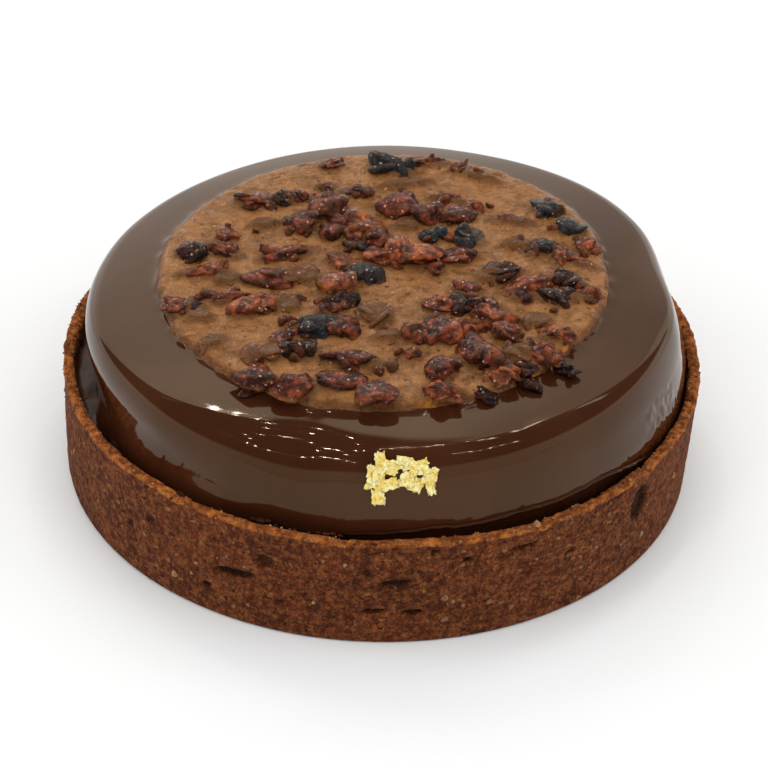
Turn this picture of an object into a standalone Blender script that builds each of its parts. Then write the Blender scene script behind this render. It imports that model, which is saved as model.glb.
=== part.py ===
"""An individual chocolate tart: a cocoa case, a dark filling, a glazed mousse disc and a caramel nib top.

The origin is the middle of the case's underside, +Z is up and -Y is the front. Lengths are in metres.
"""

import math
import random

import bmesh
import bpy
from mathutils import Matrix

# The case is lined into a ring about 80 mm across, and its mouth leans a little to +X.
CASE_RADIUS = 0.0394
MOUTH_RADIUS = 0.0400
MOUTH_SHIFT = 0.00036
CASE_HEIGHT = 0.0150
WALL = 0.0015
FLOOR = 0.0022
FOOT_ROUND = 0.0005
RIM_ROUND = 0.0004
CASE_SEGMENTS = 112
# The shares of the case's height at which its wall has a ring of points.
OUTER_RINGS = (0.30, 0.55, 0.80)
INNER_RING = 0.60

# Waves that make the rim uneven: how many round the case, how high, and where the crest stands.
RIM_WAVES = (
    (1, 0.00022, math.radians(-105)),
    (3, 0.00012, math.radians(-100)),
    (7, 0.00007, math.radians(20)),
    (13, 0.00008, math.radians(5)),
    (23, 0.00005, math.radians(-40)),
)

# Open pores and dents in the outer wall: azimuth in degrees, height, half width, half height, depth.
PORES = (
    (-114.7, 0.0074, 0.0029, 0.00045, 0.0007),
    (-109.1, 0.0104, 0.0013, 0.0009, 0.0006),
    (-86.3, 0.0092, 0.0021, 0.0005, 0.0006),
    (-89.7, 0.0050, 0.0013, 0.0004, 0.0006),
    (-83.0, 0.0048, 0.0013, 0.0004, 0.0006),
    (-36.8, 0.0104, 0.0020, 0.0028, 0.0007),
)

# The dark filling stands just under the rim. Pieces that touch keep this gap between their solids.
FILLING_TOP = 0.0122
FILLING_EDGE = 0.0010
GAP = 0.0003

# The mousse disc sits off centre with its +X side raised, and has slumped to +X at its foot.
DISC_RADIUS = 0.0370
DISC_TOP = 0.02610
DISC_X = 0.00040
DISC_Y = -0.00046
DISC_TILT_X = 0.028
DISC_TILT_Y = -0.010
SHOULDER = 0.0057
LIP_HEIGHT = 0.0146
LIP_TUCK = 0.0008
FOOT_TUCK = 0.0012
SLUMP = 0.0010
SLUMP_FROM = 0.0205
SLUMP_OVER = 0.0060
DISC_SEGMENTS = 96

# Where the glaze has run out over the filling: azimuth, half angle, and how far it reaches.
POOLS = (
    (math.radians(-134), math.radians(22), 0.0012),
    (math.radians(-161), math.radians(9), 0.0010),
    (math.radians(40), math.radians(70), 0.0002),
)

# The caramel disc lies on the mousse, and the nibs stand out of it in loose heaps.
TOP_RADIUS = 0.02865
TOP_X = 0.00020
TOP_Y = 0.00030
TOP_THICKNESS = 0.0012
TOP_EDGE_WAVES = (
    (2, 0.00050, math.radians(90)),
    (3, 0.00014, 0.6),
    (8, 0.00012, 2.1),
    (17, 0.00010, 4.0),
)
TOP_CELLS = 34
TOP_BEVEL = 0.0006

# Heaps of nibs: azimuth in degrees and distance from the disc's middle, spread, height.
HEAPS = (
    (-48, 0.0110, 0.0085, 0.0018),
    (-20, 0.0185, 0.0050, 0.0014),
    (100, 0.0150, 0.0080, 0.0017),
    (55, 0.0180, 0.0055, 0.0013),
    (168, 0.0175, 0.0080, 0.0016),
    (10, 0.0200, 0.0055, 0.0015),
    (-128, 0.0175, 0.0060, 0.0013),
    (150, 0.0060, 0.0060, 0.0013),
)
HEAP_FADE = 1.25
EDGE_FADE = 8.0
# A heap's height is part broad rise and part single nibs, and bare caramel has only small lumps.
HEAP_RISE = 0.7
BARE_LUMP = 0.0002
HEAP_LUMP = 0.0012

# Gold leaf, laid over the front shoulder. A cell is one step round the disc and one down its side.
LEAF_AZIMUTH = math.radians(-85.6)
LEAF_CELL = 0.0006
LEAF_DROP = 0.0034
LEAF_THICKNESS = 0.00018
LEAF_LIFT = 0.00035
LEAF_RAGGED = 0.2
# The first row of the leaf in each column, and the row after its last.
LEAF_ROWS = (
    (2, 7),
    (1, 9),
    (0, 9),
    (0, 8),
    (1, 6),
    (1, 4),
    (2, 4),
    (1, 4),
    (1, 5),
    (1, 5),
    (2, 6),
    (2, 7),
    (2, 5),
    (3, 5),
)

SHARP_EDGE = math.radians(40)
MERGE = 1e-7
SEED = 7


def smooth_step(value):
    """0 below 0, 1 above 1 and an even curve between."""
    value = min(max(value, 0.0), 1.0)
    return value * value * (3 - 2 * value)


def waves(azimuth, table):
    """The height of several waves round a circle, each with its number, size and crest."""
    return sum(size * math.cos(count * (azimuth - crest)) for count, size, crest in table)


def arc(middle_radius, middle_height, radius, start, end, steps):
    """Points on part of a circle in the profile plane, from start to end in degrees."""
    angles = [math.radians(start + (end - start) * step / steps) for step in range(steps + 1)]
    return [
        (middle_radius + radius * math.cos(a), middle_height + radius * math.sin(a)) for a in angles
    ]


def turned(profile, segments):
    """A profile of (radius, height) points turned once about Z."""
    bm = bmesh.new()
    points = [bm.verts.new((radius, 0.0, height)) for radius, height in profile]
    edges = [bm.edges.new(pair) for pair in zip(points, points[1:])]
    bmesh.ops.spin(
        bm,
        geom=points + edges,
        axis=(0, 0, 1),
        cent=(0, 0, 0),
        angle=math.tau,
        steps=segments,
        use_merge=True,
    )
    bmesh.ops.remove_doubles(bm, verts=bm.verts, dist=MERGE)
    bmesh.ops.recalc_face_normals(bm, faces=bm.faces)
    return bm


def material(name, colour, roughness):
    """A plain finish: linear colour and roughness."""
    made = bpy.data.materials.new(name)
    made.use_nodes = True
    shader = made.node_tree.nodes["Principled BSDF"]
    shader.inputs["Base Color"].default_value = (*colour, 1.0)
    shader.inputs["Roughness"].default_value = roughness
    return made


def solid(name, bm, finish):
    """The finished object of a bmesh, shaded smooth but for its sharp edges."""
    mesh = bpy.data.meshes.new(name)
    bm.to_mesh(mesh)
    bm.free()
    made = bpy.data.objects.new(name, mesh)
    bpy.context.scene.collection.objects.link(made)
    mesh.materials.append(finish)
    mesh.shade_smooth()
    mesh.set_sharp_from_angle(angle=SHARP_EDGE)
    return made


def clear_scene():
    """Removes what the scene starts with."""
    for old in list(bpy.data.objects):
        bpy.data.objects.remove(old)


def wall_reach(share):
    """The case's outer radius at a share of its height."""
    return CASE_RADIUS + (MOUTH_RADIUS - CASE_RADIUS) * share


def make_case():
    """The baked case: a flat floor and a thin wall with an uneven rim, open at the top."""
    inner = MOUTH_RADIUS - WALL
    rim_height = CASE_HEIGHT - RIM_ROUND
    profile = [(0.0, 0.0)]
    profile += arc(CASE_RADIUS - FOOT_ROUND, FOOT_ROUND, FOOT_ROUND, -90, 0, 2)
    profile += [(wall_reach(share), CASE_HEIGHT * share) for share in OUTER_RINGS]
    profile += arc(MOUTH_RADIUS - RIM_ROUND, rim_height, RIM_ROUND, 0, 90, 2)
    profile += arc(inner + RIM_ROUND, rim_height, RIM_ROUND, 90, 180, 2)
    profile += [(inner, CASE_HEIGHT * INNER_RING), (inner, FLOOR), (0.0, FLOOR)]
    bm = turned(profile, CASE_SEGMENTS)
    for vert in bm.verts:
        azimuth = math.atan2(vert.co.y, vert.co.x)
        rise = smooth_step((vert.co.z - FLOOR) / (CASE_HEIGHT - FLOOR))
        vert.co.x += MOUTH_SHIFT * rise
        vert.co.z += waves(azimuth, RIM_WAVES) * rise
    case = solid("crust", bm, material("baked_case", (0.130, 0.048, 0.022), 0.85))
    cut_pores(case)


def cut_pores(case):
    """Cuts the open pores and dents in the wall's outside, each a flattened ball."""
    bm = bmesh.new()
    for azimuth, height, half_width, half_height, depth in PORES:
        ball = bmesh.ops.create_icosphere(bm, subdivisions=2, radius=1.0)["verts"]
        bmesh.ops.scale(bm, verts=ball, vec=(depth, half_width, half_height))
        reach = wall_reach(height / CASE_HEIGHT)
        bmesh.ops.translate(bm, verts=ball, vec=(reach, 0, height))
        turn = Matrix.Rotation(math.radians(azimuth), 3, "Z")
        bmesh.ops.rotate(bm, verts=ball, cent=(0, 0, 0), matrix=turn)
    cutter = solid("pore_cutter", bm, case.data.materials[0])
    cutter.hide_render = True
    cutter.display_type = "WIRE"
    cut = case.modifiers.new("pores", "BOOLEAN")
    cut.operation = "DIFFERENCE"
    cut.solver = "EXACT"
    cut.object = cutter


def make_filling():
    """The dark filling, a plain disc with a soft edge that fills the case to just under the rim."""
    radius = MOUTH_RADIUS - WALL - GAP
    bottom = FLOOR + GAP
    profile = [(0.0, bottom), (radius, bottom)]
    profile += arc(radius - FILLING_EDGE, FILLING_TOP - FILLING_EDGE, FILLING_EDGE, 0, 90, 3)
    profile.append((0.0, FILLING_TOP))
    bm = turned(profile, CASE_SEGMENTS // 2)
    solid("filling", bm, material("dark_filling", (0.020, 0.009, 0.006), 0.25))


def tilt_height(x, y):
    """How far the tilted disc's top stands above or below its middle, x and y from its middle."""
    return DISC_TILT_X * x + DISC_TILT_Y * y


def pool_reach(azimuth):
    """How far the glaze has run out at its foot."""
    reach = 0.0
    for middle, half, out in POOLS:
        away = abs((azimuth - middle + math.pi) % math.tau - math.pi)
        reach += out * smooth_step(1 - away / half)
    return reach


def make_mousse():
    """The glazed mousse disc, with a round shoulder and the glaze's lip tucked in under its side."""
    bottom = FILLING_TOP + GAP
    shoulder_foot = DISC_TOP - SHOULDER
    profile = [(0.0, bottom), (DISC_RADIUS - FOOT_TUCK, bottom)]
    profile += [(DISC_RADIUS - LIP_TUCK, LIP_HEIGHT - LIP_TUCK), (DISC_RADIUS, LIP_HEIGHT)]
    profile.append((DISC_RADIUS, (LIP_HEIGHT + shoulder_foot) / 2))
    profile += arc(DISC_RADIUS - SHOULDER, shoulder_foot, SHOULDER, 0, 90, 7)
    profile += [(DISC_RADIUS / 2, DISC_TOP), (0.0, DISC_TOP)]
    bm = turned(profile, DISC_SEGMENTS)
    for vert in bm.verts:
        x, y, z = vert.co
        azimuth, radius = math.atan2(y, x), math.hypot(x, y)
        rise = smooth_step((z - bottom) / (LIP_HEIGHT - bottom))
        low = smooth_step((SLUMP_FROM - z) / SLUMP_OVER)
        run = pool_reach(azimuth) * low if radius > DISC_RADIUS / 2 else 0.0
        vert.co.x = x + DISC_X + SLUMP * low + run * math.cos(azimuth)
        vert.co.y = y + DISC_Y + run * math.sin(azimuth)
        vert.co.z = z + tilt_height(x, y) * rise
    solid("glazed_mousse", bm, material("cocoa_glaze", (0.032, 0.014, 0.009), 0.08))


def heap_height(x, y):
    """The nibs' height over the caramel at a place, from the tallest heap that reaches it."""
    height = 0.0
    for azimuth, distance, spread, tall in HEAPS:
        turn = math.radians(azimuth)
        away = math.hypot(x - distance * math.cos(turn), y - distance * math.sin(turn))
        height = max(height, tall * smooth_step(HEAP_FADE - away / spread))
    return height


def square_to_disc(x, y):
    """Maps a square from -1 to 1 onto a disc of radius 1 with cells of even size."""
    if abs(x) < MERGE and abs(y) < MERGE:
        return 0.0, 0.0
    if abs(x) > abs(y):
        radius, azimuth = x, math.pi / 4 * y / x
    else:
        radius, azimuth = y, math.pi / 2 - math.pi / 4 * x / y
    return radius * math.cos(azimuth), radius * math.sin(azimuth)


def make_top():
    """The caramel disc with its nibs, one solid out to the uneven outline of the heaps."""
    lumps = random.Random(SEED)
    tallest = max(tall for *_, tall in HEAPS)
    bm = bmesh.new()
    bmesh.ops.create_grid(bm, x_segments=TOP_CELLS, y_segments=TOP_CELLS, size=1.0)
    border = [edge for edge in bm.edges if edge.is_boundary]
    skirt = bmesh.ops.extrude_edge_only(bm, edges=border)["geom"]
    hem = [part for part in skirt if isinstance(part, bmesh.types.BMEdge) and part.is_boundary]
    underside = {vert for edge in hem for vert in edge.verts}
    bmesh.ops.contextual_create(bm, geom=hem)
    for vert in bm.verts:
        x, y = square_to_disc(vert.co.x, vert.co.y)
        azimuth, share = math.atan2(y, x), math.hypot(x, y)
        reach = TOP_RADIUS + waves(azimuth, TOP_EDGE_WAVES)
        z = 0.0
        if vert not in underside:
            reach -= TOP_BEVEL
            heap = heap_height(x * reach, y * reach) * smooth_step((1 - share) * EDGE_FADE)
            lump = BARE_LUMP + HEAP_LUMP * heap / tallest
            z = TOP_THICKNESS + heap * HEAP_RISE + lumps.uniform(0, lump)
        x, y = x * reach + TOP_X, y * reach + TOP_Y
        vert.co = (x, y, z + DISC_TOP + GAP + tilt_height(x - DISC_X, y - DISC_Y))
    bmesh.ops.recalc_face_normals(bm, faces=bm.faces)
    solid("nib_caramel", bm, material("nib_caramel", (0.240, 0.105, 0.045), 0.30))


def over_shoulder(across, down, lift):
    """A point over the disc's front: a distance round it, and one down from the shoulder's start."""
    quarter = SHOULDER * math.pi / 2
    bend = min(max(down, 0.0), quarter) / SHOULDER
    reach = DISC_RADIUS - SHOULDER + (SHOULDER + lift) * math.sin(bend)
    height = DISC_TOP - SHOULDER + (SHOULDER + lift) * math.cos(bend) - max(down - quarter, 0.0)
    azimuth = LEAF_AZIMUTH + across / DISC_RADIUS
    x, y = reach * math.cos(azimuth), reach * math.sin(azimuth)
    return DISC_X + x, DISC_Y + y, height + tilt_height(x, y)


def make_leaf():
    """The ragged flake of gold leaf, two lobes joined by a bridge, following the shoulder."""
    ragged = random.Random(SEED)
    columns = len(LEAF_ROWS)
    rows = max(end for _, end in LEAF_ROWS)
    bm = bmesh.new()
    bmesh.ops.create_grid(bm, x_segments=columns, y_segments=rows, size=1.0)
    stray = []
    for face in bm.faces:
        middle = face.calc_center_median()
        first, end = LEAF_ROWS[int((1 + middle.x) / 2 * columns)]
        row = int((1 - middle.y) / 2 * rows)
        if not first <= row < end:
            stray.append(face)
    bmesh.ops.delete(bm, geom=stray, context="FACES")
    for vert in bm.verts:
        across = vert.co.x * columns / 2 + ragged.uniform(-LEAF_RAGGED, LEAF_RAGGED)
        down = (1 - vert.co.y) * rows / 2 + ragged.uniform(-LEAF_RAGGED, LEAF_RAGGED)
        lift = LEAF_LIFT + ragged.uniform(0, LEAF_THICKNESS)
        vert.co = over_shoulder(across * LEAF_CELL, down * LEAF_CELL + LEAF_DROP, lift)
    leaf = solid("gold_leaf", bm, material("gold_leaf", (0.75, 0.55, 0.15), 0.30))
    thick = leaf.modifiers.new("thickness", "SOLIDIFY")
    thick.thickness = LEAF_THICKNESS
    thick.offset = 1.0
    thick.use_even_offset = False


clear_scene()
make_case()
make_filling()
make_mousse()
make_top()
make_leaf()
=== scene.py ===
"""A chocolate tart for one: cocoa case, dark filling, glazed mousse, caramel nib top and gold leaf.

Lengths are in metres, in the frame of the CAD part: the origin is the middle of the case's underside,
+Z is up and -Y is the front. Azimuths are in degrees from +X, turning towards +Y.
"""

import functools
import math
import random

import bmesh
import bpy
from mathutils import Euler, Matrix, Vector, kdtree, noise


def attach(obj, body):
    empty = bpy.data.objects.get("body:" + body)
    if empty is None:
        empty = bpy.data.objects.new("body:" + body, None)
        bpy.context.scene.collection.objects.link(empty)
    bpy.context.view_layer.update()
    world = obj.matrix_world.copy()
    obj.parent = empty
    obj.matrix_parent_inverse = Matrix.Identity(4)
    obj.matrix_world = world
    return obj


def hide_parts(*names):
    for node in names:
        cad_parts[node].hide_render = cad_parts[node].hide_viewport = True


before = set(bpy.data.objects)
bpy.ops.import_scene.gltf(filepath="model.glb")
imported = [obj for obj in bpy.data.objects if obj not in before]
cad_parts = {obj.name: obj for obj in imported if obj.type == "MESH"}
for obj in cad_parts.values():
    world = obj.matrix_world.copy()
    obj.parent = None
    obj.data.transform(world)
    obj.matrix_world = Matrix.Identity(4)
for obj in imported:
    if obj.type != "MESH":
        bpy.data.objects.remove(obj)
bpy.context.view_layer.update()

# ---- The baked case ----
# A thin cocoa shortcrust shell, pressed into a ring and baked blind. Its outside took the ring's shape,
# with slits and blisters where air was trapped, and its rim was trimmed with a knife and is crumbly.

CASE_RADIUS = 0.0394
MOUTH_RADIUS = 0.0400
MOUTH_SHIFT = 0.00036
CASE_HEIGHT = 0.0150
WALL = 0.0015
FLOOR = 0.0022
FOOT_ROUND = 0.0005
RIM_OUTER_ROUND = 0.00025
RIM_INNER_ROUND = 0.0007
RIM_WAVES = (
    (1, 0.00022, math.radians(-105)),
    (3, 0.00012, math.radians(-100)),
    (7, 0.00007, math.radians(20)),
    (13, 0.00008, math.radians(5)),
    (23, 0.00005, math.radians(-40)),
)
CASE_SEGMENTS = 780
WALL_ROWS = 78

# Slits, blisters and creases: azimuth, height, half width, half height, rise over the half width, depth.
PORES = (
    (-114.7, 0.0074, 0.0031, 0.00064, 0.00035, 0.0007),
    (-109.1, 0.0104, 0.0014, 0.00100, -0.00010, 0.0004),
    (-86.3, 0.0092, 0.0023, 0.00062, 0.00010, 0.0005),
    (-89.7, 0.0050, 0.0016, 0.00042, 0.00004, 0.0006),
    (-83.0, 0.0048, 0.0016, 0.00040, -0.00004, 0.0006),
    (-36.8, 0.0104, 0.0019, 0.00300, 0.0, 0.0008),
    (-64.0, 0.0125, 0.0022, 0.00040, 0.00020, 0.0004),
    (-44.6, 0.0141, 0.0022, 0.00024, 0.00010, 0.0003),
    (-132.8, 0.0094, 0.0006, 0.00080, 0.0, 0.0004),
    (-138.4, 0.0070, 0.0006, 0.00070, 0.0, 0.0004),
    (-120.2, 0.0042, 0.0008, 0.00045, 0.0, 0.0004),
    (-106.1, 0.0047, 0.0006, 0.00055, 0.0, 0.0004),
    (-91.3, 0.0106, 0.0006, 0.00060, 0.0, 0.0004),
    (-74.2, 0.0119, 0.0007, 0.00050, 0.0, 0.0005),
    (-79.9, 0.0136, 0.0007, 0.00040, 0.00015, 0.0004),
    (-53.8, 0.0090, 0.0009, 0.00050, 0.00020, 0.0004),
    (-22.6, 0.0095, 0.0006, 0.00030, 0.0, 0.0004),
    (11.8, 0.0060, 0.0024, 0.00035, 0.00010, 0.0005),
    (37.4, 0.0100, 0.0012, 0.00060, 0.0, 0.0004),
    (66.1, 0.0045, 0.0018, 0.00030, 0.00010, 0.0006),
    (95.1, 0.0088, 0.0026, 0.00040, -0.00020, 0.0006),
    (130.3, 0.0112, 0.0010, 0.00070, 0.0, 0.0004),
    (157.6, 0.0055, 0.0020, 0.00035, 0.00010, 0.0006),
    (-171.9, 0.0098, 0.0012, 0.00050, 0.0, 0.0004),
)

# Where the rim has broken away: azimuth, half width, depth.
RIM_BREAKS = (
    (-60.4, 0.0005, 0.0006),
    (-34.8, 0.0006, 0.0007),
    (-127.3, 0.0009, 0.0003),
    (-95.6, 0.0012, 0.0002),
    (-74.1, 0.0010, 0.0002),
    (-47.3, 0.0012, 0.0002),
    (-11.8, 0.0008, 0.0004),
    (30.5, 0.0010, 0.0004),
    (87.1, 0.0007, 0.0005),
    (139.4, 0.0012, 0.0003),
    (-163.7, 0.0009, 0.0003),
)


def smooth_step(value):
    """0 below 0, 1 above 1 and an even curve between."""
    value = min(max(value, 0.0), 1.0)
    return value * value * (3 - 2 * value)


def waves(azimuth, table):
    """The height of several waves round a circle, each with its number, size and crest."""
    return sum(size * math.cos(count * (azimuth - crest)) for count, size, crest in table)


def turned_by(azimuth, middle):
    """The angle from middle, in degrees, to azimuth, in radians, as radians between -pi and pi."""
    return (azimuth - math.radians(middle) + math.pi) % math.tau - math.pi


def grain(point, size, octaves=3):
    """Even random relief from about -1 to 1, in lumps of a size."""
    return noise.fractal(point / size, 1.0, 2.0, octaves)


def pitting(point, size, share):
    """How deep in a small open pore a point is, from 0 to 1, with about one pore in each cell."""
    distances, centres = noise.voronoi(point / size)
    if noise.noise(centres[0] * 3.7) < 0.05:
        return 0.0
    return max(0.0, 1 - distances[0] / share) ** 2


def arc_rows(middle_radius, middle_height, radius, start, end, steps):
    """Rows of a profile on part of a circle: radius, height and the way that the surface faces."""
    rows = []
    for step in range(steps + 1):
        facing = math.radians(start + (end - start) * step / steps)
        across = middle_radius + radius * math.cos(facing)
        rows.append((across, middle_height + radius * math.sin(facing), facing))
    return rows


def rolled(segments, rows, place, marks=()):
    """A grid rolled up round Z: place gives each point, and its marks, from its azimuth and row."""
    bm = bmesh.new()
    layers = [bm.verts.layers.float.new(mark) for mark in marks]
    bmesh.ops.create_grid(bm, x_segments=segments, y_segments=rows, size=1.0)
    for vert in bm.verts:
        row = round((vert.co.y + 1) / 2 * rows)
        vert.co, *values = place(math.pi * vert.co.x, row)
        for layer, value in zip(layers, values):
            vert[layer] = value
    bmesh.ops.remove_doubles(bm, verts=bm.verts, dist=1e-7)
    bmesh.ops.recalc_face_normals(bm, faces=bm.faces)
    return bm


def piece(name, bm, finish, body="root"):
    """The finished object of a bmesh, smooth, with its finish, riding on a body."""
    mesh = bpy.data.meshes.new(name)
    bm.to_mesh(mesh)
    bm.free()
    mesh.shade_smooth()
    mesh.materials.append(finish)
    made = bpy.data.objects.new(name, mesh)
    bpy.context.scene.collection.objects.link(made)
    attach(made, body)
    return made


class Pin:
    """One output in a node tree. Sums written with it add Math nodes, and node() adds any other."""

    def __init__(self, tree, socket=None):
        self.tree = tree
        self.socket = socket

    def node(self, kind, settings=None, inputs=None, output=0):
        """A new node with its settings made and its inputs set or linked."""
        made = self.tree.nodes.new(kind)
        for name, value in (settings or {}).items():
            setattr(made, name, value)
        for name, value in (inputs or {}).items():
            target = made.inputs[name]
            if isinstance(value, Pin):
                self.tree.links.new(value.socket, target)
            elif target.type == "RGBA":
                target.default_value = (*value, 1.0)
            else:
                target.default_value = value
        return Pin(self.tree, made.outputs[output])

    def sum(self, operation, first, second=0.0):
        return self.node("ShaderNodeMath", {"operation": operation}, {0: first, 1: second})

    def __add__(self, other):
        return self.sum("ADD", self, other)

    __radd__ = __add__

    def __sub__(self, other):
        return self.sum("SUBTRACT", self, other)

    def __rsub__(self, other):
        return self.sum("SUBTRACT", other, self)

    def __mul__(self, other):
        return self.sum("MULTIPLY", self, other)

    __rmul__ = __mul__

    def __pow__(self, other):
        return self.sum("POWER", self, other)

    def larger(self, other):
        return self.sum("MAXIMUM", self, other)

    def smaller(self, other):
        return self.sum("MINIMUM", self, other)

    def ramp(self, low, high, start=0.0, end=1.0):
        """start below low, end above high and an even curve between."""
        inputs = {"Value": self, "From Min": low, "From Max": high, "To Min": start, "To Max": end}
        return self.node("ShaderNodeMapRange", {"interpolation_type": "SMOOTHSTEP"}, inputs)

    def blend(self, first, second, way="MIX"):
        """A colour that goes from first to second as this goes from 0 to 1."""
        settings = {"data_type": "RGBA", "blend_type": way}
        return self.node("ShaderNodeMix", settings, {0: self, 6: first, 7: second}, 2)

    def moved(self, offset=(0, 0, 0), scale=(1, 1, 1)):
        """These coordinates moved and scaled, so that patterns don't line up."""
        return self.node("ShaderNodeMapping", {}, {"Vector": self, "Location": offset, "Scale": scale})

    def warped(self, size, amount):
        """These coordinates bent a little at random, so that round patterns turn ragged."""
        inputs = {"Vector": self, "Scale": 1 / size, "Detail": 2.0}
        bend = self.node("ShaderNodeTexNoise", {}, inputs, "Color")
        settings = {"operation": "MULTIPLY_ADD"}
        return self.node("ShaderNodeVectorMath", settings, {0: bend, 1: (amount,) * 3, 2: self})

    def cloud(self, size, detail=3.0, rough=0.5):
        """Cloudy noise in lumps of a size."""
        inputs = {"Vector": self, "Scale": 1 / size, "Detail": detail, "Roughness": rough}
        return self.node("ShaderNodeTexNoise", {}, inputs)

    def specks(self, size, share, chance):
        """Round specks, one in some of the cells of a size: 1 in a speck and 0 outside."""
        inputs = {"Vector": self, "Scale": 1 / size}
        distance = self.node("ShaderNodeTexVoronoi", {}, inputs, "Distance")
        colour = self.node("ShaderNodeTexVoronoi", {}, inputs, "Color")
        pick = self.node("ShaderNodeSeparateColor", {}, {"Color": colour})
        return distance.ramp(share * 0.7, share, 1.0, 0.0) * pick.ramp(1 - chance, 1.02 - chance)


class Finish(Pin):
    """A material as it is mixed. Constants go on its shader, and feed() links what varies."""

    def __init__(self, name, **constants):
        self.material = bpy.data.materials.new(name)
        self.material.use_nodes = True
        super().__init__(self.material.node_tree)
        self.shader = self.tree.nodes["Principled BSDF"]
        for constant, value in constants.items():
            self.shader.inputs[constant.replace("_", " ")].default_value = value
        self.place = self.node("ShaderNodeTexCoord", output="Object")

    def mark(self, name):
        """A value stored on the mesh's points."""
        return self.node("ShaderNodeAttribute", {"attribute_name": name}, output="Fac")

    def feed(self, name, value):
        self.tree.links.new(value.socket, self.shader.inputs[name])

    def relief(self, height, distance, strength=1.0):
        """Fine relief of the surface, which stands distance high where height is 1."""
        inputs = {"Height": height, "Distance": distance, "Strength": strength}
        self.feed("Normal", self.node("ShaderNodeBump", {}, inputs))


def wall_reach(height):
    """The case's outer radius at a height."""
    return CASE_RADIUS + (MOUTH_RADIUS - CASE_RADIUS) * height / CASE_HEIGHT


def case_rows():
    """The case's profile from the middle of its underside, up its outside and down to its floor."""
    inner = MOUTH_RADIUS - WALL
    rim = CASE_HEIGHT - RIM_OUTER_ROUND
    ledge = CASE_HEIGHT - RIM_INNER_ROUND
    down, up, inwards = math.radians(-90), math.radians(90), math.radians(180)
    rows = [(0.0, 0.0, down), (0.014, 0.0, down), (0.028, 0.0, down)]
    rows += arc_rows(CASE_RADIUS - FOOT_ROUND, FOOT_ROUND, FOOT_ROUND, -90, 0, 5)
    for row in range(1, WALL_ROWS):
        height = FOOT_ROUND + (rim - FOOT_ROUND) * row / WALL_ROWS
        rows.append((wall_reach(height), height, 0.0))
    rows += arc_rows(MOUTH_RADIUS - RIM_OUTER_ROUND, rim, RIM_OUTER_ROUND, 0, 90, 4)
    rows += [(MOUTH_RADIUS - RIM_OUTER_ROUND - step * 0.00018, CASE_HEIGHT, up) for step in (1, 2)]
    rows += arc_rows(inner + RIM_INNER_ROUND, ledge, RIM_INNER_ROUND, 90, 180, 6)
    rows += [(inner, ledge - step * 0.00025, inwards) for step in range(1, 13)]
    rows += [(inner, FLOOR, inwards), (0.0, FLOOR, up)]
    return rows


def named_pore(azimuth, height):
    """How deep in the wall the slits, blisters and creases are at a place."""
    deepest = 0.0
    for middle, level, half_width, half_height, rise, depth in PORES:
        across = turned_by(azimuth, middle) * CASE_RADIUS / half_width
        if abs(across) < 1.2:
            up = (height - level - rise * across) / half_height
            ragged = 0.25 * noise.noise(Vector((azimuth * 60, height * 2500, 3.0)))
            inside = 1 - across * across - up * up + ragged
            deepest = max(deepest, depth * smooth_step(inside * 1.4))
    return deepest


CASE_ROWS = case_rows()


def case_point(azimuth, row):
    """A point of the case, with how far it is on the cut rim and how deep in a pore."""
    radius, height, facing = CASE_ROWS[row]
    rise = smooth_step((height - FLOOR) / (CASE_HEIGHT - FLOOR))
    point = Vector((radius * math.cos(azimuth), radius * math.sin(azimuth), height))
    point.x += MOUTH_SHIFT * rise
    point.z += waves(azimuth, RIM_WAVES) * rise
    rim = smooth_step((height - CASE_HEIGHT + 0.0012) / 0.0010)
    if math.cos(facing) < -0.5:
        rim = 1.0
    pore = 0.0
    amount = 0.0
    if height > 0.0 and radius > MOUTH_RADIUS - WALL - 0.0002:
        foot = smooth_step(height / 0.0012)
        amount = 0.00008 * grain(point, 0.0060, 2) + 0.00009 * grain(point, 0.0012, 3)
        amount += rim * 0.00011 * grain(point, 0.0008, 3)
        amount -= 0.00026 * pitting(point, 0.0016, 0.46)
        if facing == 0.0:
            pore = named_pore(azimuth, height)
            amount -= pore
        amount *= foot
    for middle, half_width, depth in RIM_BREAKS:
        across = abs(turned_by(azimuth, middle)) * CASE_RADIUS / half_width
        top = smooth_step((height - CASE_HEIGHT + 0.0014) / 0.0012)
        point.z -= depth * smooth_step(1.6 - 1.6 * across) * top
    out = Vector((math.cos(azimuth) * math.cos(facing), math.sin(azimuth) * math.cos(facing), 0))
    out.z = math.sin(facing)
    return point + out * amount, rim, min(pore / 0.0005, 1.0)


crust_finish = Finish(
    "cocoa_crust",
    Roughness=0.80,
    Specular_IOR_Level=0.06,
    Sheen_Weight=0.04,
    Sheen_Roughness=0.5,
    Sheen_Tint=(1.0, 0.80, 0.62, 1.0),
)
place = crust_finish.place
mottle = place.cloud(0.0038, 4, 0.55)
crumb = place.moved((3, 1, 2)).cloud(0.00095, 4, 0.6)
fine = place.moved((7, 5, 1)).cloud(0.00030, 3, 0.65)
dough = mottle.ramp(0.36, 0.66).blend((0.092, 0.0190, 0.0058), (0.205, 0.046, 0.0125))
dough = crumb.ramp(0.38, 0.72).blend(dough, (0.250, 0.080, 0.026))
dough = fine.ramp(0.34, 0.60, 0.85, 0.0).blend(dough, (0.030, 0.0080, 0.0035))
rim_mark = crust_finish.mark("rim")
rim_wear = (rim_mark + (crumb - 0.5) * 0.5).ramp(0.55, 1.0)
toasted = crumb.ramp(0.35, 0.68).blend((0.180, 0.044, 0.010), (0.540, 0.175, 0.036))
toasted = mottle.ramp(0.36, 0.50, 0.6, 0.0).blend(toasted, (0.130, 0.034, 0.010))
ragged = place.warped(0.0007, 0.0009)
lumps = {"Vector": ragged.moved((1, 5, 3)), "Scale": 1 / 0.00070}
lump_gaps_and_painted_shade = crust_finish.node("ShaderNodeTexVoronoi", {}, lumps, "Distance").ramp(0.28, 0.62)
lump_tint = crust_finish.node("ShaderNodeTexVoronoi", {}, lumps, "Color")
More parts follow.
